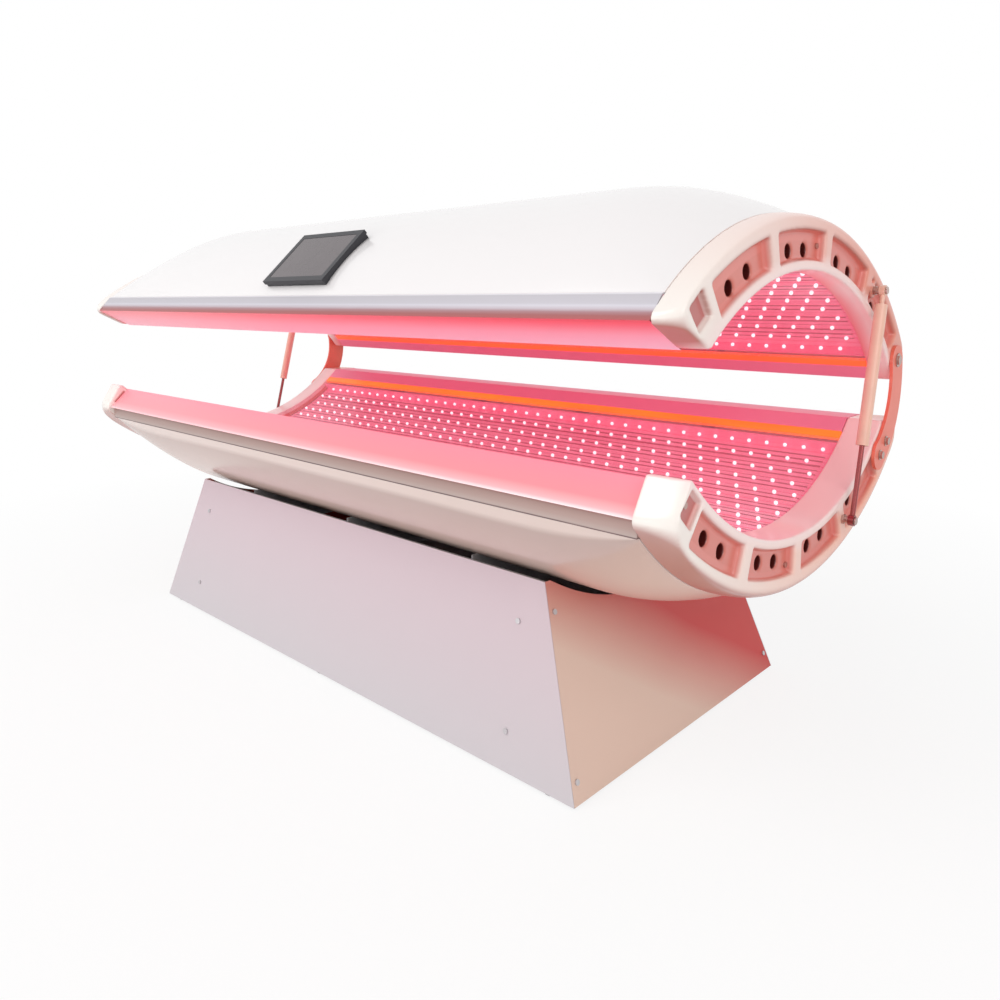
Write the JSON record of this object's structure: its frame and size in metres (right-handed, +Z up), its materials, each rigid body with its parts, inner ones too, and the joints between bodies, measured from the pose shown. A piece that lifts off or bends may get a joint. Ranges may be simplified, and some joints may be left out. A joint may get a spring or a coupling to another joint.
{
  "type": "red light therapy bed",
  "caption": "Clamshell light therapy bed: a curved lit bed on a tapered base, a matching hinged lid on gas struts, rounded end caps and a touch screen.",
  "frame": {"origin": "on the floor under the middle of the part, the centre of its outline at rest", "axes": "+X along the bed to its right-hand end, +Y to the hinge side, +Z up"},
  "size_m": [1.95, 0.888, 1.033],
  "materials": {
    "base_panel_paint": "satin pale lavender-white paint",
    "board_red": "red light boards",
    "bright_steel": "bright plated steel",
    "cap_cream": "glossy warm white",
    "clear_sheet": "clear sheet lit red from behind",
    "dark_plastic": "black",
    "end_panel_paint": "satin cream paint",
    "foot_rubber": "black rubber",
    "frame_steel": "grey powder coat on square steel tube",
    "rail_aluminium": "satin anodised",
    "screen_glass": "dark glass",
    "shell_white": "glossy white",
    "strip_orange": "lit orange strip",
    "strut_paint": "cream paint",
    "supply_case": "plain sheet"
  },
  "bodies": {
    "base": {"base_long_tubes": "frame_steel", "base_cross_tubes": "frame_steel", "base_posts": "frame_steel", "base_saddles": "frame_steel", "base_floor_plate": "frame_steel", "base_feet": "foot_rubber", "base_front_panel": "base_panel_paint", "base_rear_panel": "base_panel_paint", "base_left_panel": "end_panel_paint", "base_right_panel": "end_panel_paint", "panel_screws": "bright_steel", "power_supplies": "supply_case", "control_box": "dark_plastic", "power_inlet": "dark_plastic", "bed_shell": "shell_white", "bed_ribs": "supply_case", "bed_front_rail": "rail_aluminium", "bed_rear_rail": "rail_aluminium", "bed_tray": "supply_case", "bed_light_boards": "board_red", "bed_clear_sheet": "clear_sheet", "bed_light_strip": "strip_orange", "bed_left_cap": "cap_cream", "bed_right_cap": "cap_cream", "bed_cap_screws": "bright_steel", "bed_fan_frames": "dark_plastic", "left_hinge_arm": "strut_paint", "right_hinge_arm": "strut_paint", "hinge_arm_bolts": "bright_steel", "hinge_pins": "bright_steel", "bed_strut_studs": "bright_steel"},
    "lid": {"lid_shell": "shell_white", "lid_ribs": "supply_case", "lid_front_rail": "rail_aluminium", "lid_rear_rail": "rail_aluminium", "lid_tray": "supply_case", "lid_light_boards": "board_red", "lid_clear_sheet": "clear_sheet", "lid_light_strip": "strip_orange", "lid_left_cap": "cap_cream", "lid_right_cap": "cap_cream", "lid_cap_screws": "bright_steel", "lid_fan_frames": "dark_plastic", "lid_strut_studs": "bright_steel", "hinge_bushes": "bright_steel", "screen_plinth": "dark_plastic", "screen_bezel": "dark_plastic", "screen_glass": "screen_glass"},
    "left_tube": {"left_strut_tube": "strut_paint"},
    "right_tube": {"right_strut_tube": "strut_paint"},
    "left_rod": {"left_strut_rod": "bright_steel"},
    "right_rod": {"right_strut_rod": "bright_steel"},
    "bed_left_fan": {"bed_left_fan_rotor": "dark_plastic"},
    "bed_right_fan": {"bed_right_fan_rotor": "dark_plastic"},
    "lid_left_fan": {"lid_left_fan_rotor": "dark_plastic"},
    "lid_right_fan": {"lid_right_fan_rotor": "dark_plastic"}
  },
  "joints": [
    {"name": "lid_hinge", "type": "hinge", "parent": "base", "child": "lid", "pos_m": [0, 0.384, 0.708], "axis": [-1, 0, 0], "range_deg": [-11.5, 25]},
    {"name": "left_rod_pivot", "type": "hinge", "parent": "base", "child": "left_rod", "pos_m": [-0.964, 0.142, 0.429], "axis": [-1, 0, 0], "range_deg": [-3.5, 7]},
    {"name": "left_tube_pivot", "type": "hinge", "parent": "lid", "child": "left_tube", "pos_m": [-0.964, 0.246, 0.845], "axis": [1, 0, 0], "range_deg": [-10, 20]},
    {"name": "right_rod_pivot", "type": "hinge", "parent": "base", "child": "right_rod", "pos_m": [0.964, 0.142, 0.429], "axis": [-1, 0, 0], "range_deg": [-3.5, 7]},
    {"name": "right_tube_pivot", "type": "hinge", "parent": "lid", "child": "right_tube", "pos_m": [0.964, 0.246, 0.845], "axis": [1, 0, 0], "range_deg": [-10, 20]},
    {"name": "bed_left_fan_spin", "type": "hinge", "parent": "base", "child": "bed_left_fan", "pos_m": [-0.576, -0.034, 0.3485], "axis": [1, 0, 0], "continuous": true},
    {"name": "bed_right_fan_spin", "type": "hinge", "parent": "base", "child": "bed_right_fan", "pos_m": [0.576, -0.034, 0.3485], "axis": [1, 0, 0], "continuous": true},
    {"name": "lid_left_fan_spin", "type": "hinge", "parent": "lid", "child": "lid_left_fan", "pos_m": [-0.576, -0.034, 0.9655], "axis": [1, 0, 0], "continuous": true},
    {"name": "lid_right_fan_spin", "type": "hinge", "parent": "lid", "child": "lid_right_fan", "pos_m": [0.576, -0.034, 0.9655], "axis": [1, 0, 0], "continuous": true}
  ],
  "couplings": [
    {"joint": "left_rod_pivot", "follows": "lid_hinge", "ratio": 0.249},
    {"joint": "left_tube_pivot", "follows": "lid_hinge", "ratio": 0.751},
    {"joint": "right_rod_pivot", "follows": "lid_hinge", "ratio": 0.249},
    {"joint": "right_tube_pivot", "follows": "lid_hinge", "ratio": 0.751}
  ]
}
